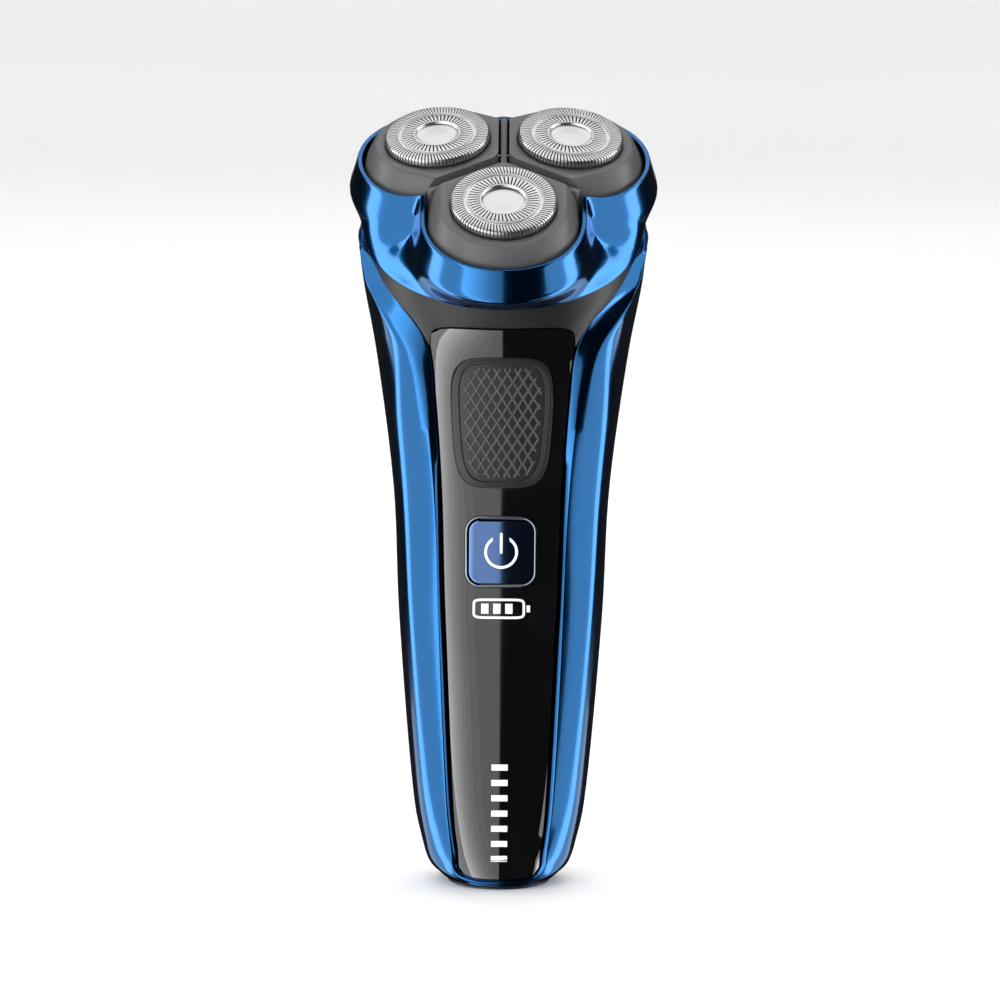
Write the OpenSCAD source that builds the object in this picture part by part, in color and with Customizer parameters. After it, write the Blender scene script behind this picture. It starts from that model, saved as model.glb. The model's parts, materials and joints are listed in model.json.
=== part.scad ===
// Three-head rotary electric shaver: a handle with a tilted seat, and a pull-off shaving head
// whose three pods tilt. The foot rests on Z = 0, the front faces -Y and the mirror plane is X = 0.
// Every handle row is a slice with its own tilt: level at the foot and parallel to the head at the seat.

/* [Handle] */
// Height of the centre of the head seat above the foot
seat_h = 138; // [126:1:168]
// How far the head leans forward
head_tilt = 28; // [20:1:32]
// Full width of the handle at the head seat
shoulder_w = 60; // [58:0.5:70]
// Full width of the handle at the neck
neck_w = 53; // [50:0.5:62]
// Full width of the handle just above the button
waist_w = 45.2; // [42:0.2:54]
// Full width of the handle where the palm closes
grip_w = 43; // [40:0.2:51]
// Full width of the handle at the heel
heel_w = 36; // [33:0.5:42]
// Diameter of the round foot opening in the shells
foot_d = 22; // [19:0.5:27]
// Wall of the moulded shells
wall = 1.8; // [1.5:0.1:2.2]
// Gap between neighbouring shells
seam = 0.12; // [0.08:0.02:0.3]

/* [Front] */
// Height of the centre of the power button
button_z = 73; // [68:0.5:76]
// Side of the square power button
button_w = 13.4; // [10:0.2:16]
// Travel of the power button
button_travel = 0.6; // [0.3:0.1:0.8]
// Height of the centre of the grip pad
pad_z = 100.3; // [98:0.5:106]
// Width of the grip pad at its middle
pad_w = 20.4; // [14:0.2:22]
// Height of the grip pad
pad_h = 27.6; // [18:0.2:30]

/* [Head] */
// Module of the gear teeth
tooth_module = 0.5; // [0.45:0.01:0.55]
// Teeth on the sun gear
sun_teeth = 30; // [24:6:30]
// Teeth on each drive gear
drive_teeth = 32; // [28:2:36]
// Radius of a shaving guard
guard_r = 10.9; // [9:0.1:11.2]
// Radius of a pod at its flat top
pod_top_r = 13.4; // [12.9:0.1:14.2]
// Radius of a pod at the foot of its skirt
pod_r = 15.6; // [15.2:0.1:16.4]
// Width of the gap between two pods
pod_gap = 2.2; // [1.8:0.1:2.8]
// Outward lean of each pod
pod_lean = 5; // [0:0.5:6]
// How far a guard can be pressed into its pod
guard_travel = 1; // [0.5:0.1:1.2]
// Radius of the lower rim of the head ring
rim_r = 29.3; // [28:0.1:31]

/* [Drive] */
// Diameter of the battery cell
cell_d = 14.2; // [10:0.1:14.6]
// Length of the battery cell
cell_l = 50; // [38:0.5:51]
// Width of the motor can over its round sides
motor_d = 20; // [17:0.5:21]
// Width of the motor can over its flats
motor_flat = 15.2; // [13:0.2:15.4]
// Length of the motor can
motor_l = 22; // [18:0.5:23]
// Diameter of the motor shaft
shaft_d = 2; // [1.5:0.1:2.3]

/* [Foot] */
// Width of the charging port
port_w = 9.6; // [8:0.2:11]
// Depth of the charging port's opening, front to back
port_t = 5.6; // [5:0.1:6.2]

/* [Hidden] */
$fn = 64;
seam_y = 0.5;                    // depth of the line where the side frame meets the rear cover
seat_y = -0.85;                  // depth of the seat's centre
seat_drop = 19.5;                // from the guards' tops down to the seat, along the head axis
foot_r = foot_d / 2;
foot_gap = 0.6;                  // the base plate stands this far below the shells
level_h = 0.616 * seat_h;        // rows start to tilt above this height
heel_h = 0.116 * seat_h;
turn_h = 0.058 * seat_h;         // height where the side frame starts to turn under the front panel
arch_h = 0.886 * seat_h;         // row of the top corners of the front panel
arch_rise = 0.063 * seat_h;
panel_foot = 2.6;
pitch_r = tooth_module * (sun_teeth + drive_teeth) / 2;   // from the head axis to each pod's axis
lobes = [270, 30, 150];          // directions of the front, right and left pods round the head axis
POD_NAMES = ["front", "right", "left"];

BLUE = [0.10, 0.30, 0.66];
GREY = [0.25, 0.25, 0.26];
BLACK = [0.05, 0.05, 0.055];
STEEL = [0.80, 0.80, 0.82];
IVORY = [0.88, 0.86, 0.80];

// ---------- smooth curves ----------

// The last interval of table that starts at or below v
function interval(table, v) =
    max([for (i = [0:len(table) - 2]) if (i == 0 || v >= table[i][0]) i]);

function slope_at(table, i) =
    let (a = max(i - 1, 0), b = min(i + 1, len(table) - 1))
    (table[b][1] - table[a][1]) / (table[b][0] - table[a][0]);

// Value at v on the smooth curve through a table of [position, value] pairs
function along(table, v) =
    let (i = interval(table, v),
         span = table[i + 1][0] - table[i][0],
         u = min(1, max(0, (v - table[i][0]) / span)))
    table[i][1] * (1 + 2 * u) * pow(1 - u, 2) + slope_at(table, i) * span * u * pow(1 - u, 2)
    + table[i + 1][1] * u * u * (3 - 2 * u) - slope_at(table, i + 1) * span * u * u * (1 - u);

function mix(a, b, s) = a + (b - a) * s;
function ease(s) = let (u = min(1, max(0, s))) u * u * (3 - 2 * u);

// The other coordinate of a superellipse quarter, where u runs from 0 to 1
function quarter(u, n) = pow(max(0, 1 - pow(abs(u), n)), 1 / n);

// ---------- the body surface ----------

half_width = [[foot_gap, foot_r], [0.075 * heel_h, mix(foot_r, heel_w / 2, 0.23)],
              [0.22 * heel_h, mix(foot_r, heel_w / 2, 0.49)],
              [0.47 * heel_h, mix(foot_r, heel_w / 2, 0.72)],
              [heel_h, heel_w / 2], [0.42 * seat_h, grip_w / 2], [0.605 * seat_h, waist_w / 2],
              [0.82 * seat_h, neck_w / 2], [0.93 * seat_h, shoulder_w / 2 - 0.6], [seat_h, shoulder_w / 2]];
front_y = [[foot_gap, seam_y - foot_r], [0.22 * heel_h, -12.9], [heel_h, -14.7], [0.42 * seat_h, -15.6],
           [0.605 * seat_h, -15.8], [0.725 * seat_h, -16.5], [0.82 * seat_h, -17.8], [0.885 * seat_h, -19.3],
           [0.942 * seat_h, -21.8], [seat_h, -24.7]];
rear_y = [[foot_gap, seam_y + foot_r], [0.22 * heel_h, 13], [heel_h, 14.6], [0.42 * seat_h, 16.2],
          [0.605 * seat_h, 17.2], [0.71 * seat_h, 20], [0.81 * seat_h, 23.8], [0.9 * seat_h, 25],
          [seat_h, 24.6]];
roundness = [[foot_gap, 2], [heel_h, 2.6], [0.42 * seat_h, 3], [0.605 * seat_h, 3],
             [0.82 * seat_h, 2.6], [seat_h, 2.15]];

function row_tilt(h) = head_tilt * ease((h - level_h) / (seat_h - level_h));

// A point at x and y on the tilted row of height h
function on_row(x, y, h) = [x, y, h + (y - seat_y) * tan(row_tilt(h))];

// A point of the front surface, moved out of the body by off
function front_point(x, h, off = 0) =
    let (a = along(half_width, h), b = seam_y - along(front_y, h), n = along(roundness, h),
         u = min(1, abs(x) / a), v = quarter(u, n),
         nx = sign(x) * pow(u, n - 1) / a, ny = -pow(v, n - 1) / b, size = norm([nx, ny]))
    on_row(x + off * nx / size, seam_y - b * v + off * ny / size, h);

// A point of the rear surface; turn runs from 0 at the right seam to 180 at the left one
function rear_point(turn, h, off = 0) =
    let (a = along(half_width, h), b = along(rear_y, h) - seam_y, n = 1.15 + 0.35 * along(roundness, h),
         c = cos(turn), s = sin(turn), u = sign(c) * pow(abs(c), 2 / n), v = pow(abs(s), 2 / n),
         nx = sign(u) * pow(abs(u), n - 1) / a, ny = pow(v, n - 1) / b, size = norm([nx, ny]))
    on_row(a * u + off * nx / size, seam_y + seam / 2 + b * v + off * ny / size, h);

// ---------- the rails of the side frame, as shares of the half width ----------

panel_share = [[0.05, 0.56], [0.38, 0.557], [0.56, 0.57], [0.79, 0.557], [0.886, 0.551], [0.92, 0.606],
               [0.938, 0.645], [0.951, 0.715], [0.964, 0.8], [0.978, 0.87], [1, 0.94]];
bevel_share = [[0.05, 0.606], [0.3, 0.6], [0.455, 0.597], [0.64, 0.615], [0.81, 0.625], [0.865, 0.65],
               [0.9, 0.7], [0.922, 0.76], [0.945, 0.86], [0.96, 0.925], [0.985, 0.953], [1, 0.973]];
side_share = [[0.05, 0.885], [0.28, 0.893], [0.435, 0.903], [0.587, 0.92], [0.73, 0.9], [0.83, 0.845],
              [0.89, 0.84], [0.938, 0.87], [0.96, 0.94], [0.985, 0.963], [1, 0.983]];

function share_x(shares, h) = along(shares, h / seat_h) * along(half_width, h);

// Where a rail is at station t: 0 to 1 runs down the side, 1 to 2 turns under the front panel
function rail_spot(shares, foot, n, t) =
    t <= 1
    ? let (h = mix(seat_h, turn_h, t)) [share_x(shares, h), h]
    : let (turn = 90 * (t - 1))
      [share_x(shares, turn_h) * pow(cos(turn), 2 / n), turn_h - (turn_h - foot) * pow(sin(turn), 2 / n)];

function rail(shares, foot, n, t, off) =
    let (spot = rail_spot(shares, foot, n, t)) front_point(spot[0], spot[1], off);

// The edge of the side frame: down the seam, then round the front of the foot opening
function frame_edge(t, off) =
    t <= 1 ? front_point(along(half_width, mix(seat_h, turn_h, t)), mix(seat_h, turn_h, t), off)
    : t <= 4 / 3 ? let (h = mix(turn_h, foot_gap, 3 * (t - 1))) front_point(along(half_width, h), h, off)
    : let (turn = 135 * (t - 4 / 3), r = foot_r + off)
      on_row(r * cos(turn), seam_y - r * sin(turn), foot_gap);

// One section of the side frame at station t, from the panel edge out to the rear seam
function frame_section(t, inside) =
    let (lift = inside ? -wall : 0,
         inner = rail(panel_share, panel_foot, 4, t, inside ? -wall - 0.9 : t < 0.2 ? -1.1 : -0.8),
         bevel = rail(bevel_share, 1.9, 3.6, t, lift + (inside ? 0 : 0.3)),
         side = rail(side_share, 1.1, 2.6, t, lift + (inside ? 0 : 0.25)),
         edge = frame_edge(t, lift),
         out1 = rail(bevel_share, 1.9, 3.6, t, 1) - rail(bevel_share, 1.9, 3.6, t, 0),
         out2 = rail(side_share, 1.1, 2.6, t, 1) - rail(side_share, 1.1, 2.6, t, 0))
    concat([inner, bevel],
           [for (s = [0.25, 0.5, 0.75]) mix(bevel, side, s) + 4 * s * (1 - s) * 0.4 * mix(out1, out2, s)],
           [side],
           [for (s = [0.33, 0.67]) mix(side, edge, s) + 4 * s * (1 - s) * 0.45 * out2],
           [edge]);

function mirrored(points) = [for (p = points) [-p[0], p[1], p[2]]];

// ---------- solids between two grids of points ----------

// A closed solid between an outer and an inner grid; wrap joins each row's last point to its first
module sheet_solid(outer, inner, wrap = false) {
    rows = len(outer);
    cols = len(outer[0]);
    all = rows * cols;
    last = wrap ? cols - 1 : cols - 2;
    function at(i, j, back = 0) = back * all + i * cols + j % cols;
    function quad(a, b, c, d) = [[a, b, c], [a, c, d]];
    faces = concat(
        [for (i = [0:rows - 2], j = [0:last]) each
            quad(at(i, j), at(i, j + 1), at(i + 1, j + 1), at(i + 1, j))],
        [for (i = [0:rows - 2], j = [0:last]) each
            quad(at(i + 1, j, 1), at(i + 1, j + 1, 1), at(i, j + 1, 1), at(i, j, 1))],
        [for (j = [0:last]) each quad(at(0, j, 1), at(0, j + 1, 1), at(0, j + 1), at(0, j))],
        [for (j = [0:last]) each
            quad(at(rows - 1, j), at(rows - 1, j + 1), at(rows - 1, j + 1, 1), at(rows - 1, j, 1))],
        wrap ? [] : [for (i = [0:rows - 2]) each
            quad(at(i, 0), at(i + 1, 0), at(i + 1, 0, 1), at(i, 0, 1))],
        wrap ? [] : [for (i = [0:rows - 2]) each
            quad(at(i, cols - 1, 1), at(i + 1, cols - 1, 1), at(i + 1, cols - 1), at(i, cols - 1))]);
    polyhedron(points = concat([for (r = outer) each r], [for (r = inner) each r]), faces = faces);
}

// A square with round corners, from exact squares and circles
module round_square(w, h, r) {
    square([w, h - 2 * r], center = true);
    square([w - 2 * r, h], center = true);
    for (x = [-1, 1], y = [-1, 1]) translate([x * (w / 2 - r), y * (h / 2 - r)]) circle(r);
}

module oblong(w, t) {
    square([w - t, t], center = true);
    for (x = [-1, 1]) translate([x * (w - t) / 2, 0]) circle(t / 2);
}

module ring(r_out, r_in, h) {
    difference() {
        cylinder(r = r_out, h = h);
        translate([0, 0, -1]) cylinder(r = r_in, h = h + 2);
    }
}

// Lays a profile against the front at height z; its own height runs forward from depth y
module facing_front(z, y) {
    translate([0, y, z]) rotate([90, 0, 0]) children();
}

// ---------- shells of the handle ----------

side_stations = [for (i = [0:22]) pow(i / 22, 1.35)];
turn_stations = [for (i = [1:12]) 1 + i / 12];

function frame_grid(inside) =
    let (right = [for (t = concat(side_stations, turn_stations)) frame_section(t, inside)])
    concat(right, [for (i = [len(right) - 2:-1:0]) mirrored(right[i])]);

module side_frame() {
    color(BLUE) sheet_solid(frame_grid(true), frame_grid(false));
}

rear_rows = concat([for (z = [foot_gap, 0.075 * heel_h, 0.22 * heel_h, 0.47 * heel_h, 0.75 * heel_h]) z],
                   [for (i = [0:20]) mix(heel_h, seat_h, i / 20)]);

module rear_cover() {
    function grid(off) = [for (h = rear_rows) [for (i = [0:22]) rear_point(180 * i / 22, h, off)]];
    color(BLACK) sheet_solid(grid(0), grid(-wall));
}

// Row of the panel's lower edge and upper arch at a share u of its half width
function panel_low(u) = turn_h - (turn_h - panel_foot) * quarter(u, 4);
function panel_top(u) = arch_h + arch_rise * quarter(u, 4);
function panel_edge_x(h) = share_x(panel_share, min(max(h, turn_h), arch_h)) - seam - 0.1;

// The front panel before its openings are cut
module panel_blank() {
    function spot(u, s, off) =
        let (h = mix(panel_low(u) + seam, panel_top(u) - seam, s))
        front_point(u * panel_edge_x(h), h, off - 0.5 * pow(abs(u), 6));
    function grid(off) = [for (i = [0:30]) [for (j = [-7:7]) spot(j / 7.2, i / 30, off)]];
    sheet_solid(grid(-wall), grid(0));
}

// Outline of the grip pad: squarish, and narrower towards its foot
function pad_outline(grow) = [for (i = [0:59])
    let (c = cos(6 * i), s = sin(6 * i), v = sign(s) * pow(abs(s), 2 / 4.5))
    [(pad_w / 2 + 0.1 + 0.8 * v - 0.25 * v * v + grow) * sign(c) * pow(abs(c), 2 / 4.5),
     (pad_h / 2 + grow) * v]];

// Front surface behind the middle of the button, and the depth of the button's stack
button_y = front_point(0, button_z)[1];

module front_panel() {
    color(BLACK) difference() {
        panel_blank();
        facing_front(pad_z, 0) linear_extrude(40) polygon(pad_outline(seam));
        facing_front(button_z, 0) linear_extrude(40)
            round_square(button_w + 2 * bezel_t + 2 * seam, button_w + 2 * bezel_t + 2 * seam, 3.4);
    }
}

pad_bow = 42;                    // radius of the pad's face from side to side
pad_proud = 0.9;                 // how far the face stands out of the panel

// Rubber pad, cut from between two upright cylinders that lean with the panel
module grip_pad() {
    function panel_y(z) = front_point(0, z)[1];
    lean = atan((panel_y(pad_z - 10) - panel_y(pad_z + 10)) / 20);
    module bowed(depth)
        translate([0, panel_y(pad_z) + depth + pad_bow, pad_z]) rotate([lean, 0, 0])
            cylinder(r = pad_bow, h = 3 * pad_h, center = true, $fn = 128);
    color(GREY) difference() {
        intersection() {
            facing_front(pad_z, 0) linear_extrude(40) polygon(pad_outline(0));
            bowed(-pad_proud);
        }
        bowed(wall - 0.1);
    }
}

// The grey shoulder: from the arch of the panel and the frame's rails up to the seat
module collar() {
    top_x = share_x(panel_share, seat_h) - seam;
    function low(s) = s <= 0.5
        ? let (turn = 180 * s, u = pow(abs(sin(turn)), 0.5))
          [u * (share_x(panel_share, arch_h) - seam), arch_h + arch_rise * pow(abs(cos(turn)), 0.5) + seam]
        : let (h = mix(arch_h + seam, seat_h - 1.2, 2 * s - 1)) [share_x(panel_share, h) - seam, h];
    function spot(s, v, off) =
        let (a = low(abs(s)), x = mix(a[0], top_x * pow(abs(s), 0.8), v), h = mix(a[1], seat_h, v))
        front_point(sign(s) * x, h, off - 0.3 - 0.9 * pow(x / share_x(panel_share, h), 4));
    function grid(off) = [for (i = [0:7]) [for (j = [-16:16]) spot(j / 16, i / 7, off)]];
    color(GREY) sheet_solid(grid(-wall), grid(0));
}

// ---------- foot and charging port ----------

port_y = 4.6;                    // depth of the port's centre, behind the seam
socket_wall = 1.2;
socket_top = 12;
plug_top = 3.4;                  // top of the plug on the base plate
pin_low = 6.8;
pin_d = 1;

module base_plate() {
    color(BLACK) difference() {
        union() {
            translate([0, seam_y, 0]) cylinder(r = foot_r - 0.25, h = foot_gap - 0.05);
            translate([0, seam_y, 0]) cylinder(r = foot_r - wall - 0.3, h = plug_top);
        }
        translate([0, port_y, -1]) linear_extrude(8) oblong(port_w, port_t);
    }
}

module charge_socket() {
    color(BLACK) translate([0, port_y, plug_top + 0.02]) difference() {
        linear_extrude(socket_top - plug_top) oblong(port_w + 2 * socket_wall, port_t + 2 * socket_wall);
        translate([0, 0, -1]) linear_extrude(socket_top - plug_top) oblong(port_w, port_t);
    }
}

module socket_pins() {
    color(STEEL) for (x = [-1, 1]) translate([x * port_w / 4, port_y, pin_low])
        cylinder(d = pin_d, h = socket_top - 0.98 - pin_low);
}

// ---------- power button ----------

bezel_t = 0.8;                   // width of the frame round the button, with its gap
button_gap = 0.15;
flange_t = 0.8;
symbol_r = 3.5;
symbol_line = 0.55;
flange_y = button_y + wall + 1.1;               // front face of the button's flange
switch_y = flange_y + flange_t + button_travel + 0.05;
board_y = switch_y + 1.6;                       // front face of the circuit board

module button_bezel() {
    outer = button_w + 2 * bezel_t;
    color(STEEL) facing_front(button_z, button_y + wall + 1) difference() {
        linear_extrude(wall + 1.1) round_square(outer, outer, 3.3);
        translate([0, 0, -1]) linear_extrude(wall + 4)
            round_square(button_w + 2 * button_gap, button_w + 2 * button_gap, 2.65);
    }
}

module power_button() {
    color(BLUE) facing_front(button_z, flange_y + flange_t) {
        linear_extrude(flange_t) round_square(button_w + 1.2, button_w + 1.2, 3);
        linear_extrude(flange_y + flange_t - button_y + 0.2) round_square(button_w, button_w, 2.5);
    }
}

module power_symbol() {
    color("white") facing_front(button_z, button_y - 0.2) linear_extrude(0.12) {
        difference() {
            circle(symbol_r);
            circle(symbol_r - symbol_line);
            translate([-symbol_r / 2, 0]) square([symbol_r, symbol_r + 1]);
        }
        translate([-symbol_line / 2, -0.3]) square([symbol_line, symbol_r + 0.8]);
    }
}

// ---------- electrics behind the front panel ----------

board_w = 20;
board_t = 1;
board_low = 24;
board_high = 106;
plate_t = 1.6;                   // upright plate of the chassis
cradle_t = 1.2;                  // walls of the cell's cradle
tab_t = 0.35;
cell_y = board_y + board_t + plate_t + 0.8 + cell_d / 2;   // depth of the cell's axis
cell_z = 15.2;

module tact_switch() {
    color(STEEL) facing_front(button_z, board_y) {
        linear_extrude(board_y - switch_y - 0.3) square([6, 6], center = true);
        cylinder(d = 3, h = board_y - switch_y);
    }
}

module circuit_board() {
    color("darkgreen") translate([-board_w / 2, board_y, board_low])
        cube([board_w, board_t, board_high - board_low]);
}

module charge_light() {
    color("white") facing_front(button_z - 12, board_y)
        linear_extrude(1.2) square([3.2, 1.6], center = true);
}

// Upright plate behind the board, with a seat for each end of the cell
module chassis() {
    plate_y = board_y + board_t;
    color(GREY) difference() {
        union() {
            translate([-board_w / 2 - 1, plate_y, cell_z - 2])
                cube([board_w + 2, plate_t, board_high - cell_z]);
            for (z = [cell_z - 1 - cradle_t, cell_z + cell_l + 1])
                translate([-cell_d / 2 - cradle_t, plate_y + plate_t / 2, z])
                    cube([cell_d + 2 * cradle_t, cell_d + 2, cradle_t]);
            for (x = [-cell_d / 2 - 0.2 - cradle_t, cell_d / 2 + 0.2])
                translate([x, plate_y + plate_t / 2, cell_z - 1 - cradle_t])
                    cube([cradle_t, cell_d * 0.6, cell_l + 4]);
        }
        translate([0, cell_y, cell_z - 0.95]) cylinder(d = cell_d + 0.3, h = cell_l + 1.9);
    }
}

module battery_cell() {
    color("seagreen") translate([0, cell_y, cell_z]) {
        cylinder(d = cell_d, h = cell_l - 0.9);
        cylinder(d = 5, h = cell_l);
    }
}

module battery_tabs() {
    color(STEEL) for (z = [cell_z - tab_t, cell_z + cell_l])
        translate([-2.5, cell_y - cell_d / 2 + 0.8, z]) cube([5, cell_d - 2, tab_t]);
}

// ---------- drive, in the head's own frame: +Z runs up the head axis from the seat ----------

module head_frame() {
    translate([0, seat_y, seat_h]) rotate([head_tilt, 0, 0]) children();
}

// Places a piece on the axis of pod i: +X points outward, +Y along the pod's hinge
module at_lobe(i) {
    head_frame() rotate([0, 0, lobes[i]]) translate([pitch_r, 0, 0]) children();
}

flange_h = 0.6;                  // the deck's flange on top of the shells
gear_low = -5.8;
gear_t = 3;
gear_plate_t = 1.3;
hub_r = 3.2;
hub_top = 4;
hub_gap = 1.2;                   // between a gear's hub and the deck round it
plate_low = gear_low - 0.3 - gear_plate_t;
motor_top = plate_low - 0.2;
pin_r = 0.8;
bearing_gap = 0.06;              // radial running clearance of shafts, pins and hinges
can_t = 0.8;                     // sheet of the motor can
spindle_r = 2.2;
spindle_low = -0.4;
spindle_top = 14.2;
spring_r = 1.75;
spring_l = 4;
screw_r = 18;                    // from the head axis to the deck's screws

// Teeth with a clearance on each flank, the first one centred on +X
module gear_outline(teeth) {
    step = 360 / teeth;
    r = tooth_module * teeth / 2;
    flank = [[-0.33, -1.2], [-0.2, 0], [-0.085, 0.85], [0.085, 0.85], [0.2, 0], [0.33, -1.2]];
    polygon([for (k = [0:teeth - 1], f = flank)
        let (angle = step * (k + f[0]), reach = r + f[1] * tooth_module)
        reach * [cos(angle), sin(angle)]]);
}

module motor_profile(grow) {
    intersection() {
        circle(d = motor_d + 2 * grow);
        square([motor_d + 2, motor_flat + 2 * grow], center = true);
    }
}

module motor_can() {
    color(STEEL) head_frame() translate([0, 0, motor_top - motor_l]) difference() {
        linear_extrude(motor_l) motor_profile(0);
        translate([0, 0, -1]) linear_extrude(motor_l) motor_profile(-can_t);
        cylinder(r = shaft_d / 2 + bearing_gap, h = motor_l + 1);
    }
}

module motor_magnets() {
    color(GREY) head_frame() translate([0, 0, motor_top - motor_l + 4]) for (side = [-1, 1])
        intersection() {
            ring(motor_d / 2 - can_t - 0.05, motor_d / 2 - 2.4, motor_l - 7);
            translate([side * motor_d / 2 - 3, -4.5, 0]) cube([6, 9, motor_l]);
        }
}

module motor_end_cap() {
    color(BLACK) head_frame() translate([0, 0, motor_top - motor_l - 1]) difference() {
        union() {
            linear_extrude(1) motor_profile(-0.1);
            linear_extrude(3) motor_profile(-can_t - 0.1);
        }
        translate([0, 0, -1]) cylinder(r = shaft_d / 2 + bearing_gap, h = 6);
    }
}

// Shaft and armature: three poles on the shaft and the commutator below them
module rotor() {
    low = motor_top - motor_l;
    color("sienna") head_frame() {
        translate([0, 0, low - 1.6]) cylinder(d = shaft_d, h = gear_low + gear_t - low + 1.4);
        translate([0, 0, low + 4.4]) cylinder(r = motor_flat / 2 - 2, h = motor_l - 8);
        translate([0, 0, low + 2.6]) cylinder(r = 2.2, h = 2.2);
    }
}

module sun_gear() {
    web_r = (tooth_module * sun_teeth / 2 + shaft_d / 2) / 2;
    color(IVORY) head_frame() rotate([0, 0, lobes[0]]) translate([0, 0, gear_low]) difference() {
        linear_extrude(gear_t) gear_outline(sun_teeth);
        translate([0, 0, -1]) cylinder(d = shaft_d, h = gear_t + 2);
        for (k = [0:2]) rotate([0, 0, 120 * k]) translate([web_r, 0, -1])
            cylinder(r = 1.5, h = gear_t + 2);
    }
}

module gear_plate() {
    color(GREY) head_frame() translate([0, 0, plate_low]) difference() {
        lobed_plate(7.6, 14, gear_plate_t);
        translate([0, 0, -1]) cylinder(d = shaft_d + 1, h = 4);
        for (a = lobes) rotate([0, 0, a]) translate([pitch_r, 0, -1]) cylinder(r = pin_r, h = 4);
    }
}

module gear_pins() {
    color(STEEL) for (i = [0:2]) at_lobe(i) translate([0, 0, plate_low])
        cylinder(r = pin_r, h = gear_low + 1.7 - plate_low);
}

// A drive gear with a tall cup that carries its spindle and spring
module drive_gear(i) {
    color(IVORY) at_lobe(i) difference() {
        union() {
            translate([0, 0, gear_low]) rotate([0, 0, 180 + 180 / drive_teeth])
                linear_extrude(gear_t) gear_outline(drive_teeth);
            translate([0, 0, gear_low]) cylinder(r = hub_r, h = hub_top - gear_low);
        }
        translate([0, 0, gear_low - 1]) cylinder(r = pin_r + bearing_gap, h = 2.8);
        translate([0, 0, spindle_low - spring_l - 0.2]) cylinder(r = spindle_r + 0.08, h = 12);
    }
}

module spindle(i) {
    color(BLACK) at_lobe(i) {
        translate([0, 0, spindle_low]) cylinder(r = spindle_r, h = 5.6);
        translate([0, 0, spindle_low + 5]) cylinder(r = 1.5, h = 8);
        translate([0, 0, spindle_top - 2]) cylinder(r = 1.9, h = 2, $fn = 6);
    }
}

// Helical spring as a swept tube of six sides
module coil(r, wire, length, turns) {
    steps = 10 * turns;
    sides = 6;
    points = [for (k = [0:steps], j = [0:sides - 1])
        let (a = 36 * k, b = 360 * j / sides, z = wire + (length - 2 * wire) * k / steps)
        [(r + wire * cos(b)) * cos(a), (r + wire * cos(b)) * sin(a), z + wire * sin(b)]];
    walls = [for (k = [0:steps - 1], j = [0:sides - 1]) each
        let (n = (j + 1) % sides, a = k * sides, b = a + sides)
        [[a + j, b + j, b + n], [a + j, b + n, a + n]]];
    polyhedron(points = points, faces = concat(walls,
        [[for (j = [0:sides - 1]) j]], [[for (j = [sides - 1:-1:0]) steps * sides + j]]));
}

module spindle_spring(i) {
    color(STEEL) at_lobe(i) translate([0, 0, spindle_low - spring_l - 0.1])
        coil(spring_r, 0.22, spring_l, 4);
}

// Outline of the opening that the shells leave at the seat, moved in by off
function seat_outline(off) =
    let (flat = function(p) [p[0], (p[1] - seat_y) / cos(head_tilt)],
         a = along(half_width, seat_h))
    concat([for (k = [-12:12]) flat(front_point(a * sin(7.5 * k), seat_h, -off))],
           [for (k = [1:23]) flat(rear_point(7.5 * k, seat_h, -off))]);

module top_deck() {
    color(GREY) head_frame() difference() {
        union() {
            translate([0, 0, 0.01]) linear_extrude(flange_h - 0.01) polygon(seat_outline(1));
            translate([0, 0, -1.4]) linear_extrude(1.5) polygon(seat_outline(wall + 1.8));
        }
        for (a = lobes) rotate([0, 0, a]) translate([pitch_r, 0, -3]) cylinder(r = hub_r + hub_gap, h = 6);
        for (k = [0:2]) rotate([0, 0, lobes[k] + 60]) translate([screw_r, 0, -3]) cylinder(r = 1.1, h = 6);
    }
}

module deck_screws() {
    color(STEEL) head_frame() for (a = lobes) rotate([0, 0, a + 60]) translate([screw_r, 0, 0]) {
        translate([0, 0, plate_low + 3]) cylinder(r = 1, h = flange_h - plate_low - 3);
        translate([0, 0, flange_h]) cylinder(r = 1.9, h = 0.5);
    }
}

module deck_seal() {
    color(BLACK) head_frame() translate([0, 0, -1.3]) linear_extrude(1.2) difference() {
        polygon(seat_outline(wall + 1.3));
        polygon(seat_outline(wall + 1.8));
    }
}

module spindle_seals() {
    color(BLACK) for (i = [0:2]) at_lobe(i) translate([0, 0, -0.8]) ring(hub_r + hub_gap, hub_r + 0.12, 2);
}

// ---------- shaving head ----------

ring_low = 0.8;
ring_lobe_top = 13;              // the ring's upper edge in front of a pod
ring_peak = 16;                  // and where two pods meet
ring_belly = 3.3;                // how far the ring's belly stands out from the pods
ring_t = 1.6;
pivot_w = 13.5;                  // height of the pods' hinges
pod_flat = 17.6;                 // height of a pod's flat top
pod_foot = 10.2;
pod_skirt = 12.5;                // top of the upright part of a pod's skirt
pod_wall = 1;
guard_top = seat_drop;
carrier_low = 5.8;
carrier_t = 1.4;
chamber_low = 2;

// Angle from the nearest pod's direction
function off_lobe(angle) = abs(((angle - lobes[0] + 60) % 120 + 120) % 120 - 60);

// Distance from the head axis to the outline round the pods: arches of radius rho with straight legs
function lobe_reach(rho, angle) =
    let (d = off_lobe(angle))
    pitch_r * tan(d) > rho ? rho / sin(d) : pitch_r * cos(d) + sqrt(rho * rho - pow(pitch_r * sin(d), 2));

// The ring's upper edge: level round each pod, with a peak where two pods meet
function ring_height(angle, s) =
    ring_low + s * (mix(ring_lobe_top, ring_peak, pow(off_lobe(angle) / 60, 5)) - ring_low);

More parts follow.
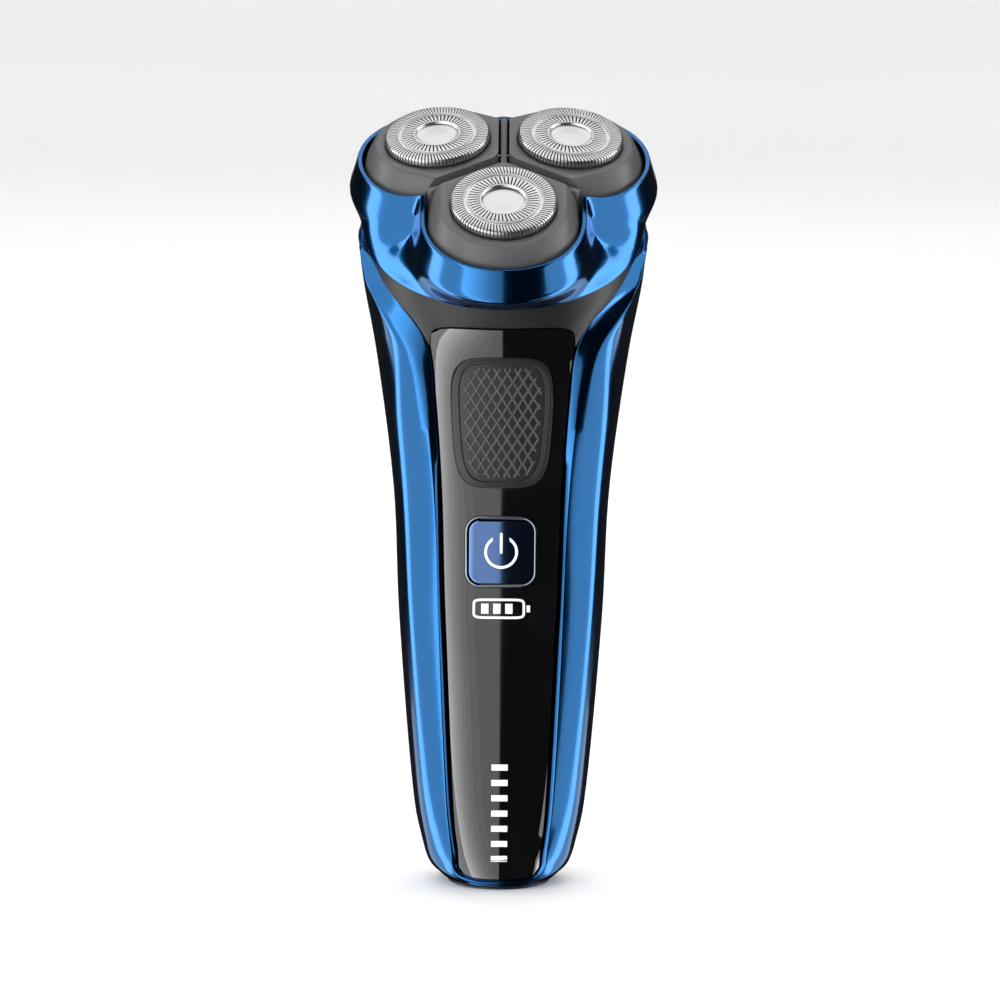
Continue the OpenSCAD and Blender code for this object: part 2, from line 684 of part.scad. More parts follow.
module head_ring() {
    belly = 0.45;
    function reach(angle, s, foot, rho1, rho2) = s < belly
        ? mix(foot, lobe_reach(rho1, angle), ease(s / belly))
        : mix(lobe_reach(rho1, angle), lobe_reach(rho2, angle), (s - belly) / (1 - belly));
    function grid(foot, rho1, rho2) = [for (k = [0:12]) let (s = k / 12)
        [for (j = [0:71]) let (angle = 5 * j, r = reach(angle, s, foot, rho1, rho2))
            [r * cos(angle), r * sin(angle), ring_height(angle, s)]]];
    color(BLUE) head_frame() sheet_solid(
        grid(rim_r - ring_t - 0.3, pod_r + ring_belly - ring_t, pod_r + 0.5),
        grid(rim_r, pod_r + ring_belly, pod_r + 1.5), wrap = true);
}

module lobed_plate(r, centre_r, h) {
    linear_extrude(h) {
        circle(centre_r);
        for (a = lobes) rotate(a) translate([pitch_r, 0]) circle(r);
    }
}

module hair_chamber() {
    color(GREY) head_frame() translate([0, 0, chamber_low]) difference() {
        lobed_plate(guard_r + 0.4, 17, carrier_low - chamber_low - 0.1);
        translate([0, 0, 1]) lobed_plate(guard_r - 0.6, 16, 10);
        for (a = lobes) rotate([0, 0, a]) translate([pitch_r, 0, -1]) cylinder(r = hub_r + 1.4, h = 6);
    }
}

lug_out = 13.3;                  // from a pod's axis to the outside of its lugs
lug_t = 1;
hinge_r = 0.6;

// Plate that carries the pods: two lugs for each, with bores for its hinge pins
module pod_carrier() {
    color(GREY) head_frame() difference() {
        union() {
            translate([0, 0, carrier_low]) lobed_plate(pod_r, 15.8, carrier_t);
            for (a = lobes, side = [-1, 1]) rotate([0, 0, a])
                translate([pitch_r - 1.4, side * (lug_out - lug_t / 2) - lug_t / 2, carrier_low + 0.2])
                    cube([2.8, lug_t, pivot_w + 1 - carrier_low - 0.2]);
        }
        for (a = lobes) rotate([0, 0, a]) translate([pitch_r, 0, 0]) {
            translate([0, 0, carrier_low - 1]) cylinder(r = 9, h = 4);
            translate([0, 20, pivot_w]) rotate([90, 0, 0]) cylinder(r = hinge_r + bearing_gap, h = 40);
        }
    }
}

// The rib that shows between the pods
module head_bridge() {
    rib = pod_gap - 0.8;
    low = carrier_low + carrier_t;
    color(GREY) head_frame() translate([0, 0, low]) linear_extrude(pod_flat - 0.9 - low)
        for (a = lobes) rotate(a + 60) translate([0, -rib / 2]) square([lobe_reach(pod_r, 90) - 0.2, rib]);
}

// Turns a pod and what it holds outward about its hinge
module in_pod(i) {
    at_lobe(i) translate([0, 0, pivot_w]) rotate([0, pod_lean, 0]) translate([0, 0, -pivot_w]) children();
}

// The share of the head that one pod may fill, moved in by inset
module wedge(inset) {
    cut = pod_gap / 2 + inset;
    translate([-pitch_r + cut / sin(60), 0]) intersection() {
        polygon([[0, 0], [60, 60 * tan(60)], [60, -60 * tan(60)]]);
        translate([0.6 + 0.4 * inset, -30]) square(60);
    }
}

// A half outline turned about the pod's axis, and drawn out straight towards the head axis
module arch_solid() {
    rotate_extrude($fn = 96) children();
    for (side = [0, 1]) mirror([0, side, 0]) translate([-pitch_r, 0, 0]) rotate([90, 0, 90])
        linear_extrude(pitch_r) children();
}

module pod(i) {
    color(BLACK) difference() {
        intersection() {
            in_pod(i) arch_solid()
                polygon([[0, pod_foot], [pod_r, pod_foot], [pod_r, pod_skirt], [pod_r - 0.5, 14.2],
                         [pod_top_r + 0.3, pod_flat - 0.7], [pod_top_r - 0.5, pod_flat], [0, pod_flat]]);
            at_lobe(i) linear_extrude(40) wedge(0);
        }
        intersection() {
            in_pod(i) arch_solid()
                polygon([[0, 0], [pod_r - pod_wall, 0], [pod_r - pod_wall, pod_skirt], [pod_r - 1.6, 14],
                         [pod_top_r - 0.8, pod_flat - 1.2], [0, pod_flat - 1.2]]);
            at_lobe(i) linear_extrude(40) wedge(0.8);
        }
        in_pod(i) cylinder(r = guard_r + 0.15, h = 40);
    }
}

guard_t = 0.5;
guard_wall = 0.5;
tab_low = 15.3;
outer_slots = 60;
inner_slots = 36;
groove_r = guard_r - 3.1;        // middle of the groove between the two shaving tracks
disc_r = guard_r - 6.4;          // the sunk disc inside the inner track

// Slotted steel cap with two shaving tracks, held in the pod by three tabs
module guard(i) {
    top = guard_top;
    under = guard_top - guard_t;
    module slots(count, start, skew, length, width, depth)
        for (k = [0:count - 1]) rotate([0, 0, 360 * (k + 0.5) / count]) translate([start, 0, top - depth])
            rotate([0, 0, skew]) translate([0, -width / 2, 0]) cube([length, width, 3]);
    color(STEEL) in_pod(i) difference() {
        union() {
            rotate_extrude($fn = 96) polygon([
                [0, top - 1.2], [disc_r - 0.1, top - 1.2], [disc_r + 0.2, under], [groove_r - 0.5, under],
                [groove_r - 0.3, top - 0.9], [groove_r + 0.3, top - 0.9], [groove_r + 0.5, under],
                [guard_r - guard_wall, under - 0.3], [guard_r - guard_wall, tab_low], [guard_r, tab_low],
                [guard_r, top - 0.6], [guard_r - 0.5, top - 0.05], [guard_r - 0.9, top],
                [groove_r + 0.3, top], [groove_r + 0.1, top - 0.35], [groove_r - 0.1, top - 0.35],
                [groove_r - 0.3, top], [disc_r + 0.3, top], [disc_r, top - 0.7], [0, top - 0.7]]);
            intersection() {
                translate([0, 0, tab_low]) ring(guard_r + 1.1, guard_r - guard_wall, 0.8);
                for (a = [0, 110, -110]) rotate([0, 0, a])
                    translate([guard_r - 2, -1.6, 0]) cube([6, 3.2, 20]);
            }
        }
        slots(outer_slots, groove_r + 0.6, 14, 4, 0.34, 1.3);
        slots(inner_slots, disc_r + 0.5, 10, groove_r - disc_r - 1.1, 0.32, 1);
    }
}

blade_top = guard_top - guard_t - 0.5;
blade_h = 2.4;
blade_t = 0.4;
blade_low = blade_top - blade_h;
neck_r = 2.9;                    // neck of the cutter's hub, which the cutter sits on
hub_low = 12.3;

// Steel disc with two circles of blades under the guard's tracks
module cutter(i) {
    color(STEEL) in_pod(i) {
        translate([0, 0, blade_low - 0.5]) ring(groove_r + 2.1, neck_r + 0.1, 0.6);
        for (k = [0:11], track = [[disc_r + 0.6, 1.9], [groove_r + 0.6, 1.3]]) rotate([0, 0, 30 * k])
            translate([track[0], -blade_t / 2, blade_low]) cube([track[1], blade_t, blade_h]);
    }
}

// Moulded hub that carries the cutter; its six-sided socket takes the spindle's tip
module cutter_hub(i) {
    color(IVORY) in_pod(i) translate([0, 0, hub_low]) difference() {
        union() {
            cylinder(r = neck_r + 1, h = blade_low - 0.5 - hub_low);
            cylinder(r = neck_r, h = blade_low + 0.5 - hub_low);
        }
        translate([0, 0, -1]) cylinder(r = neck_r - 0.25, h = 4.2, $fn = 6);
    }
}

// Ring under the cutter, with the pod's two hinge pins
module cutter_holder(i) {
    ring_r = guard_r - guard_wall - 0.3;
    color(BLACK) in_pod(i) {
        translate([0, 0, pivot_w - 1.2]) ring(ring_r, ring_r - 1.7, 2);
        for (side = [-1, 1]) translate([0, side * (guard_r - 1.5), pivot_w]) rotate([side * -90, 0, 0])
            cylinder(r = hinge_r, h = lug_out + 0.1 - guard_r + 1.5);
    }
}

side_frame();
rear_cover();
front_panel();
collar();
base_plate();
grip_pad();
button_bezel();
power_button();
power_symbol();
tact_switch();
circuit_board();
chassis();
battery_cell();
battery_tabs();
charge_socket();
socket_pins();
charge_light();
motor_can();
motor_magnets();
motor_end_cap();
rotor();
sun_gear();
gear_plate();
gear_pins();
top_deck();
deck_seal();
spindle_seals();
deck_screws();
head_ring();
pod_carrier();
head_bridge();
hair_chamber();
for (i = [0:2]) pod(i);
for (i = [0:2]) guard(i);
for (i = [0:2]) cutter(i);
for (i = [0:2]) cutter_hub(i);
for (i = [0:2]) cutter_holder(i);
for (i = [0:2]) drive_gear(i);
for (i = [0:2]) spindle(i);
for (i = [0:2]) spindle_spring(i);
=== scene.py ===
# %% [markdown]
# # A three-head rotary shaver
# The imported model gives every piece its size, its place and its joints. This notebook gives them
# their looks: soft moulded edges, ground steel guards, a knurled grip and the finishes.
# Everything is in metres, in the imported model's own frame: +Z is up and the front faces -Y.

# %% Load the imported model
import json
from math import cos, pi, radians, sin, tan

import bmesh
import bpy
from mathutils import Matrix, Quaternion, Vector


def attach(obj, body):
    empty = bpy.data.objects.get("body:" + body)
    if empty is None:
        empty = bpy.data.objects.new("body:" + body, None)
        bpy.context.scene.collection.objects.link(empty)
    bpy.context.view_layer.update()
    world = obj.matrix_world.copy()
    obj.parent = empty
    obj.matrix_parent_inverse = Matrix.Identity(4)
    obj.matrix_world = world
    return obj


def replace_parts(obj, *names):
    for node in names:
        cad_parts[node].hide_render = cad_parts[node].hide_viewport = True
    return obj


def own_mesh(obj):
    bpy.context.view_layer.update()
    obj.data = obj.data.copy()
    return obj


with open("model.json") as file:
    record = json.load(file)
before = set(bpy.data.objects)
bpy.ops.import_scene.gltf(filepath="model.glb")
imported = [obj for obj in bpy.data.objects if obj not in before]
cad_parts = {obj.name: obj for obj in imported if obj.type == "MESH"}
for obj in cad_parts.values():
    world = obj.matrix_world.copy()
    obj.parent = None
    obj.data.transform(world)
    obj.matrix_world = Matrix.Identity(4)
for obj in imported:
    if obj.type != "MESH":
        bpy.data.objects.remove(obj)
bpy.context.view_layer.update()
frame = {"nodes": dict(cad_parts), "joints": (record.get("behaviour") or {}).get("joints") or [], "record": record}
nodes = frame["nodes"]
joints = {j["name"]: j for j in frame["joints"]}
mm = 0.001

# %% [markdown]
# ## Camera
# A long lens from a little above the front keeps the sides of the handle nearly parallel, as a
# catalogue picture does. The lens length follows from the distance and from how much height the
# frame has to hold, so the object keeps its size in the picture when the distance changes.

# %% Camera
view_height = 208.3 * mm
camera_distance = 1.3
camera_elevation = radians(9.2)
look_at = Vector((-0.3 * mm, -10 * mm, 83 * mm))


def direction(azimuth, elevation):
    """Unit vector from the object towards a place round it; azimuth 0 is the front."""
    return Vector((sin(azimuth) * cos(elevation), -cos(azimuth) * cos(elevation), sin(elevation)))


camera = bpy.data.objects.new("camera", bpy.data.cameras.new("camera"))
bpy.context.scene.collection.objects.link(camera)
back = direction(0, camera_elevation)
camera.location = look_at + camera_distance * back
roll = Quaternion((0, 0, 1), radians(0.4))
camera.rotation_euler = (back.to_track_quat("Z", "Y") @ roll).to_euler()
camera.data.lens = camera.data.sensor_width * camera_distance / view_height
bpy.context.scene.camera = camera
print("lens", round(camera.data.lens), "mm")

# %% [markdown]
# ## Sockets as numbers
# A finish is mostly arithmetic: a noise, minus a half, times a strength. The class below wraps one
# output of a node, so the arithmetic is written as Python and each operator adds its Math node.
# Any other node comes from its one method, `node`.


# %% Sockets as numbers
class Wire:
    """One output socket, with arithmetic."""

    def __init__(self, tree, socket):
        self.tree = tree
        self.socket = socket

    def node(self, kind, settings=None, sockets=None, out=0):
        made = self.tree.nodes.new(kind)
        for key, value in (settings or {}).items():
            if key == "stops":
                ramp = made.color_ramp.elements
                while len(ramp) < len(value):
                    ramp.new(0.5)
                for element, (place, shade) in zip(ramp, value):
                    element.position = place
                    element.color = shade
            else:
                setattr(made, key, value)
        for key, value in (sockets or {}).items():
            if isinstance(value, Wire):
                self.tree.links.new(value.socket, made.inputs[key])
            else:
                made.inputs[key].default_value = value
        return Wire(self.tree, made.outputs[out])

    def math(self, operation, *values):
        return self.node("ShaderNodeMath", {"operation": operation}, dict(enumerate(values)))

    def __add__(self, other):
        return self.math("ADD", self, other)

    def __sub__(self, other):
        return self.math("SUBTRACT", self, other)

    def __rsub__(self, other):
        return self.math("SUBTRACT", other, self)

    def __mul__(self, other):
        return self.math("MULTIPLY", self, other)

    def __truediv__(self, other):
        return self.math("DIVIDE", self, other)

    def __pow__(self, other):
        return self.math("POWER", self, other)

    __radd__ = __add__
    __rmul__ = __mul__

    def step(self, low, high):
        """0 below low, 1 above high, and smooth between."""
        return self.node(
            "ShaderNodeMapRange", {"interpolation_type": "SMOOTHSTEP"},
            {"Value": self, "From Min": low, "From Max": high},
        )

    def noise(self, scale, detail=2.0):
        sockets = {"Vector": self, "Scale": scale, "Detail": detail}
        return self.node("ShaderNodeTexNoise", None, sockets)

    def stretched(self, scale):
        """This position, scaled along each axis, for marks that run one way."""
        return self.node("ShaderNodeMapping", None, {"Vector": self, "Scale": scale})

    def mapped(self, frame_matrix):
        """This position, seen from another frame."""
        seen = frame_matrix.inverted()
        sockets = {"Location": seen.to_translation(), "Rotation": seen.to_euler()}
        return self.node("ShaderNodeMapping", None, {"Vector": self, **sockets})

    def parts(self):
        return [self.node("ShaderNodeSeparateXYZ", None, {"Vector": self}, k) for k in range(3)]


def tint(mask, low, high):
    """A colour between two, by a mask."""
    return mask.node(
        "ShaderNodeMix", {"data_type": "RGBA"},
        {"Factor": mask, 6: as_shade(low), 7: as_shade(high)}, out=2,
    )


def as_shade(value):
    return value if isinstance(value, Wire) else (*value, 1.0)


# %% [markdown]
# ## A finish
# Every finish is one Principled surface. Its fixed values sit on the sockets; what varies over the
# piece is a wire. `height` is a relief in metres, which a Bump node turns into shading.


# %% A finish
def finish(name, build, **fixed):
    """A material; build gets the object position and returns the sockets that vary."""
    material = bpy.data.materials.new(name)
    material.use_nodes = True
    tree = material.node_tree
    surface = tree.nodes["Principled BSDF"]
    place = Wire(tree, tree.nodes.new("ShaderNodeTexCoord").outputs["Object"])
    varying = build(place)
    height = varying.pop("height", None)
    if height is not None:
        varying["Normal"] = place.node(
            "ShaderNodeBump", None, {"Height": height, "Distance": 1.0, "Strength": 1.0}
        )
    for key, value in fixed.items():
        surface.inputs[key.replace("_", " ")].default_value = value
    for key, value in varying.items():
        tree.links.new(value.socket, surface.inputs[key])
    return material


# %% [markdown]
# ## Blue lacquer
# The side frame and the head ring are moulded, then sprayed with a metallic blue and a clear coat.
# Fine flakes make tiny differences in the metal below, and the coat has a faint orange peel that
# only shows in reflections, so it is a very low relief. The button has the same flakes in a
# lighter blue under a finer polish, which mirrors the edge of a lamp sharply.


# %% Blue lacquer
def lacquer(name, low, high, rough, peel, **fixed):
    """Metallic lacquer between two shades; peel is the depth of its orange peel in mm."""

    def build(place):
        flakes = place.noise(9000, 1)
        dust = place.noise(160, 4).step(0.35, 0.75)
        return {
            "Base Color": tint(flakes.step(0.3, 0.7), low, high),
            "Roughness": rough + 0.05 * rough / 0.13 * flakes + 0.03 * rough / 0.13 * dust,
            "height": peel * mm * place.noise(700, 2) + 0.0000001 * flakes,
        }

    return finish(name, build, Metallic=1.0, Coat_Roughness=0.03, **fixed)


blue_lacquer = lacquer(
    "blue_lacquer", (0.012, 0.118, 0.33), (0.018, 0.158, 0.42), 0.13, 0.0012, Coat_Weight=0.45,
)
button_lacquer = lacquer(
    "button_lacquer", (0.15, 0.27, 0.58), (0.17, 0.30, 0.62), 0.03, 0.0001, Coat_Weight=0.1,
)

# %% [markdown]
# ## Gloss black
# The front panel is polished black plastic. What tells it from paint is its depth, so it has a
# strong clear reflection, a very dark body, and hairlines and smudges that only change roughness.


# %% Gloss black
def piano(place):
    smudge = place.noise(55, 5).step(0.45, 0.8)
    hairline = place.stretched((1, 1, 0.08)).noise(5200, 2).step(0.68, 0.74)
    return {
        "Base Color": tint(smudge, (0.0015, 0.0015, 0.002), (0.0035, 0.0035, 0.004)),
        "Roughness": 0.035 + 0.05 * smudge + 0.05 * hairline,
        "height": 0.0000008 * place.noise(260, 1),
    }


gloss_black = finish("gloss_black", piano, IOR=1.9, Coat_Weight=1.0, Coat_Roughness=0.02)


# %% [markdown]
# ## Moulded plastics
# Matt mouldings get their look from a spark-eroded mould: a fine, even grain. One function makes
# them all, with the grain's size and depth, and a slight change of shade from handling.


# %% Moulded plastics
def moulding(name, shade, rough, grain=2600, depth=0.012, lift=1.35, **fixed):
    """A matt moulding; depth is the grain's in mm, and lift how much lighter it wears."""

    def build(place):
        coarse = place.noise(90, 4)
        fine = place.noise(grain, 3)
        worn = tuple(min(1, c * lift) for c in shade)
        return {
            "Base Color": tint(0.5 * coarse + 0.5 * fine, shade, worn),
            "Roughness": rough - 0.06 + 0.14 * coarse,
            "height": depth * mm * fine,
        }

    return finish(name, build, **fixed)


collar_grey = moulding("collar_grey", (0.012, 0.012, 0.013), 0.38)
pod_grey = moulding("pod_grey", (0.062, 0.062, 0.064), 0.34, grain=3400, depth=0.007)
bridge_grey = moulding("bridge_grey", (0.070, 0.070, 0.072), 0.34, depth=0.006)
rear_black = moulding("rear_black", (0.012, 0.012, 0.013), 0.46, grain=1700, depth=0.02, lift=1.6)
socket_black = moulding("socket_black", (0.02, 0.02, 0.022), 0.4)
frame_grey = moulding("frame_grey", (0.075, 0.078, 0.085), 0.5)
spindle_black = moulding("spindle_black", (0.018, 0.018, 0.02), 0.3, depth=0.004)
gear_nylon = moulding(
    "gear_nylon", (0.70, 0.67, 0.58), 0.38, depth=0.004, lift=1.1, Subsurface_Weight=0.12,
)
grip_rubber = moulding(
    "grip_rubber", (0.012, 0.012, 0.013), 0.36, grain=4200, depth=0.01, lift=1.8,
)
# The knurl ribs are the pad's own rubber. Their lighter shade is a painted highlight, standing in for the light
# that the rib tops catch.
knurl_painted_highlight = moulding("knurl_painted_highlight", (0.070, 0.070, 0.072), 0.26, grain=4200, depth=0.003)
seal_rubber = moulding("seal_rubber", (0.014, 0.014, 0.015), 0.7, grain=3000)
print_white = moulding("print_white", (0.80, 0.82, 0.86), 0.4, depth=0.002, lift=1.08)

# %% [markdown]
# ## Frames on the joints
# The guards, cutters and spindles sit on leaning axes. Their joints say where: +Z runs along the
# axis a cutter turns on, +Y along the pod's hinge and +X outward. Both the shapes and the ground
# marks on the steel are made in these frames.

# %% Frames on the joints
SIDES = ("front", "right", "left")


def axes_frame(place, up, along):
    """A frame at a place, with +Z up and +Y along."""
    up, along = Vector(up).normalized(), Vector(along).normalized()
    outward = along.cross(up)
    turn = Matrix((outward, along, up)).transposed()
    return Matrix.Translation(Vector(place)) @ turn.to_4x4()


def pod_frame(side):
    spin, tilt = joints["cutter_spin_" + side], joints["pod_tilt_" + side]
    return axes_frame(spin["pos_m"], spin["axis"], tilt["axis"])


def local_box(node, place):
    """Lowest and highest corner of a CAD node, seen from a frame."""
    seen = place.inverted()
    points = [seen @ v.co for v in nodes[node].data.vertices]
    return [Vector(pick(p[k] for p in points) for k in range(3)) for pick in (min, max)]


pods = {side: pod_frame(side) for side in SIDES}
guard_top = local_box("guard_front", pods["front"])[1].z
print("guard top above its hinge", round(guard_top / mm, 2), "mm")

# %% [markdown]
# ## Ground steel
# A guard is turned and lapped, so its marks are rings round its own axis, while the cutters'
# blades are ground straight. Ring marks need the distance from the axis: the position is first
# mapped into the guard's frame, and the noise then reads radius and height, not X and Y.


# %% Ground steel
def ground_steel(name, place_on, shade, rough):
    def build(place):
        local = place.mapped(place_on)
        x, y, z = local.parts()
        radius = (x * x + y * y) ** 0.5
        unrolled = place.node("ShaderNodeCombineXYZ", None, {0: radius, 1: z * 0.5, 2: 0.0})
        rings = unrolled.noise(9000, 3)
        stain = place.noise(420, 3)
        return {
            "Base Color": tint(0.6 * rings + 0.4 * stain, tuple(0.80 * c for c in shade), shade),
            "Roughness": rough - 0.05 + 0.16 * rings + 0.05 * stain,
            "height": 0.000004 * rings,
        }

    return finish(name, build, Metallic=1.0)


guard_steel = {
    side: ground_steel("guard_steel_" + side, pods[side], (0.86, 0.87, 0.88), 0.24)
    for side in SIDES
}


def plated(name, shade, rough):
    def build(place):
        drawn = place.stretched((1, 1, 0.06)).noise(6000, 2)
        return {
            "Base Color": tint(place.noise(600, 3), tuple(0.8 * c for c in shade), shade),
            "Roughness": rough + 0.12 * drawn,
            "height": 0.000003 * drawn,
        }

    return finish(name, build, Metallic=1.0)


plated_steel = plated("plated_steel", (0.72, 0.73, 0.74), 0.2)
magnet_iron = plated("magnet_iron", (0.10, 0.10, 0.11), 0.5)
bezel_chrome = plated("bezel_chrome", (0.40, 0.44, 0.50), 0.06)


# %% [markdown]
# ## Copper, board, cell and lamp
# These only show when the shaver is opened, but each still has its own finish: windings round the
# armature, traces under the solder mask, a printed sleeve on the cell and a frosted lamp.


# %% Copper, board, cell and lamp
def windings(place):
    sockets = {"Vector": place, "Scale": 900.0}
    turns = place.node("ShaderNodeTexWave", {"bands_direction": "Z"}, sockets, out=1)
    return {
        "Base Color": tint(turns, (0.28, 0.09, 0.03), (0.78, 0.36, 0.16)),
        "Roughness": 0.25 + 0.2 * turns,
        "height": 0.00003 * turns,
    }


def solder_mask(place):
    sockets = {"Vector": place, "Scale": 260.0}
    cells = place.node("ShaderNodeTexVoronoi", {"feature": "DISTANCE_TO_EDGE"}, sockets)
    trace = cells.step(0.10, 0.05)
    return {
        "Base Color": tint(trace, (0.006, 0.075, 0.03), (0.015, 0.16, 0.06)),
        "Roughness": 0.3 - 0.1 * trace,
        "height": 0.00002 * trace,
    }


def sleeve(place):
    band = (place.parts()[2] * 1000.0 - 58.0).step(0.0, 0.6)
    return {
        "Base Color": tint(band, (0.02, 0.20, 0.16), (0.62, 0.64, 0.62)),
        "Roughness": 0.28 + 0.1 * place.noise(300, 3),
        "height": 0.00001 * place.noise(500, 2),
    }


def frosted(place):
    grain = place.noise(3000, 2)
    return {
        "Base Color": tint(grain, (0.8, 0.8, 0.76), (0.92, 0.92, 0.88)),
        "Roughness": 0.5 + 0.1 * grain,
        "height": 0.000004 * grain,
    }


rotor_copper = finish("rotor_copper", windings, Metallic=0.9)
board_green = finish("board_green", solder_mask, Coat_Weight=0.3)
cell_wrap = finish("cell_wrap", sleeve, Coat_Weight=0.4)
light_lens = finish("light_lens", frosted, Transmission_Weight=0.2)

# %% [markdown]
# ## Soft moulded edges
# No moulded edge is sharp: light always catches a thin line on it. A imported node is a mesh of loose
# triangles, so a copy is welded, its flat faces are joined, its sharp edges get a narrow bevel, and
# it is shaded smooth. Shells with a changing curve are also subdivided once. The alternative, a
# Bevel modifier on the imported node, fails on loose triangles.


# %% Soft moulded edges
def keep(bm, name, material, body, slot=None, smooth=35):
    """A finished piece from a bmesh, with its place in its mesh."""
    mesh = bpy.data.meshes.new(name)
    bm.to_mesh(mesh)
    bm.free()
    piece = bpy.data.objects.new(name, mesh)
    bpy.context.scene.collection.objects.link(piece)
    mesh.materials.append(material)
    mesh.shade_smooth()
    mesh.set_sharp_from_angle(angle=radians(smooth))
    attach(piece, body)
    return piece


def body_of(node):
    bodies = frame["record"]["behaviour"]["bodies"]
    return next(name for name, group in bodies.items() if node in group)


def slot_of(node):
    rows = frame["record"]["subparts"]
    return next(row["material_slot"] for row in rows if row["node"] == node)


def merged(node):
    """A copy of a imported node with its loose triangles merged."""
    bm = bmesh.new()
    bm.from_mesh(nodes[node].data)
    bmesh.ops.remove_doubles(bm, verts=bm.verts, dist=0.002 * mm)
    return bm


def welded(node, flat=1.0):
    """A merged copy with its flat faces joined, up to an angle between them."""
    bm = merged(node)
    bmesh.ops.dissolve_limit(
        bm, angle_limit=radians(flat), use_dissolve_boundaries=False,
        verts=bm.verts, edges=bm.edges,
    )
    return bm


def sharp_edges(bm, angle=38):
    return [e for e in bm.edges if e.is_manifold and e.calc_face_angle(0) > radians(angle)]


def ease_edges(bm, width, angle=38, segments=2):
    bmesh.ops.bevel(
        bm, geom=sharp_edges(bm, angle), offset=width, offset_type="OFFSET", affect="EDGES",
        segments=segments, profile=0.5, material=-1, clamp_overlap=True,
    )


def moulded_copy(node, material, width=0.15 * mm, angle=38, smooth=32, flat=1.0):
    bm = welded(node, flat)
    ease_edges(bm, width, angle)
    piece = keep(bm, node + "_moulded", material, body_of(node), slot_of(node), smooth)
    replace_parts(piece, node)
    return piece


def shell_copy(node, material, width=0.2 * mm, angle=50, smooth=45):
    """A copy of a curved shell: its triangles become quads, and it is subdivided once."""
    bm = merged(node)
    bmesh.ops.join_triangles(
        bm, faces=bm.faces, angle_face_threshold=radians(30), angle_shape_threshold=radians(80)
    )
    ease_edges(bm, width, angle)
    piece = keep(bm, node + "_shell", material, body_of(node), slot_of(node), smooth)
    finer = piece.modifiers.new("finer", "SUBSURF")
    finer.levels = finer.render_levels = 1
    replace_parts(piece, node)
    return piece


for node, material in (
    ("side_frame", blue_lacquer), ("rear_cover", rear_black), ("collar", collar_grey),
    ("head_ring", blue_lacquer),
):
    shell = shell_copy(node, material)
    print(shell.name, len(shell.data.polygons), "faces")
for side in SIDES:
    moulded_copy("pod_" + side, pod_grey, 0.12 * mm, angle=24, smooth=30)
for node, material, width, smooth in (
    ("head_bridge", bridge_grey, 0.2, 32), ("button_bezel", bezel_chrome, 0.22, 32),
    ("base_plate", rear_black, 0.15, 25), ("top_deck", frame_grey, 0.1, 25),
    ("pod_carrier", frame_grey, 0.1, 25),
):
    moulded_copy(node, material, width * mm, smooth=smooth)

# %% [markdown]
# ## The polished panel
# Gloss shows every facet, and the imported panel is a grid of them. Its front is one slow curve, so a
# polynomial in X and Z fits it within hundredths of a millimetre, and the gradient of that
# polynomial gives each corner its normal. The mesh keeps its shape, and the reflections run
# smoothly past the openings. More subdivision would only round the openings off.

# %% The polished panel
import numpy as np


def basis(x, z, z_range):
    """Even powers of X times Chebyshev polynomials of the height, with their X and Z slopes."""
    middle, reach = 0.5 * (z_range[0] + z_range[1]), 0.5 * (z_range[1] - z_range[0])
    u, v = x / (10 * mm), (z - middle) / reach
    rows, slopes_x, slopes_z = [], [], []
    for j in range(9):
        wave = np.polynomial.chebyshev.Chebyshev.basis(j)
        for i in range(4):
            rows.append(u ** (2 * i) * wave(v))
            slopes_x.append((2 * i * u ** max(0, 2 * i - 1) if i else 0 * u) * wave(v) / (10 * mm))
            slopes_z.append(u ** (2 * i) * wave.deriv()(v) / reach)
    return np.array(rows).T, np.array(slopes_x).T, np.array(slopes_z).T


panel = moulded_copy("front_panel", gloss_black, 0.12 * mm, angle=60, flat=0.02)
mesh = panel.data
source = nodes["front_panel"].data
front = sorted({i for f in source.polygons if f.normal.y < -0.8 for i in f.vertices})
points = np.array([source.vertices[i].co for i in front])
z_range = points[:, 2].min(), points[:, 2].max()
rows, _, _ = basis(points[:, 0], points[:, 2], z_range)
curve, *_ = np.linalg.lstsq(rows, points[:, 1], rcond=None)
print("panel fitted within", round(float(np.abs(rows @ curve - points[:, 1]).max()) / mm, 3), "mm")
facing = {i for f in mesh.polygons if f.normal.y < -0.8 for i in f.vertices}
normals = [Vector()] * len(mesh.loops)
for face in mesh.polygons:
    for loop in face.loop_indices:
        vertex = mesh.loops[loop].vertex_index
        if vertex in facing and face.normal.y < -0.5:
            x, _, z = mesh.vertices[vertex].co
            _, slope_x, slope_z = basis(np.array([x]), np.array([z]), z_range)
            normals[loop] = Vector(((slope_x @ curve)[0], -1, (slope_z @ curve)[0])).normalized()
mesh.normals_split_custom_set(normals)

# %% [markdown]
# ## Guards
# A rotary guard is a thin steel cap whose two shaving tracks are cut into radial slots. Cutting
# slots with booleans leaves long slivers, so the guard is built the other way round: three lathed
# rings, joined by ribs, with one rib made as a prism and then spun round the axis. The slots between
# the ribs are real, so the cutter shows through them, and a plain dish closes the middle.


# %% Guards
def full_spin(bm, outline, steps):
    """Spins an outline of vertices and edges once round Z."""
    bmesh.ops.spin(
        bm, geom=outline, axis=(0, 0, 1), cent=(0, 0, 0), angle=2 * pi, steps=steps, use_merge=True,
    )


def lathe(bm, profile, steps=96):
    """Turns a closed outline of (radius, height) in mm once round Z."""
    corners = [bm.verts.new((r * mm, 0, z * mm)) for r, z in profile]
    edges = [bm.edges.new(pair) for pair in zip(corners, corners[1:] + corners[:1])]
    full_spin(bm, corners + edges, steps)


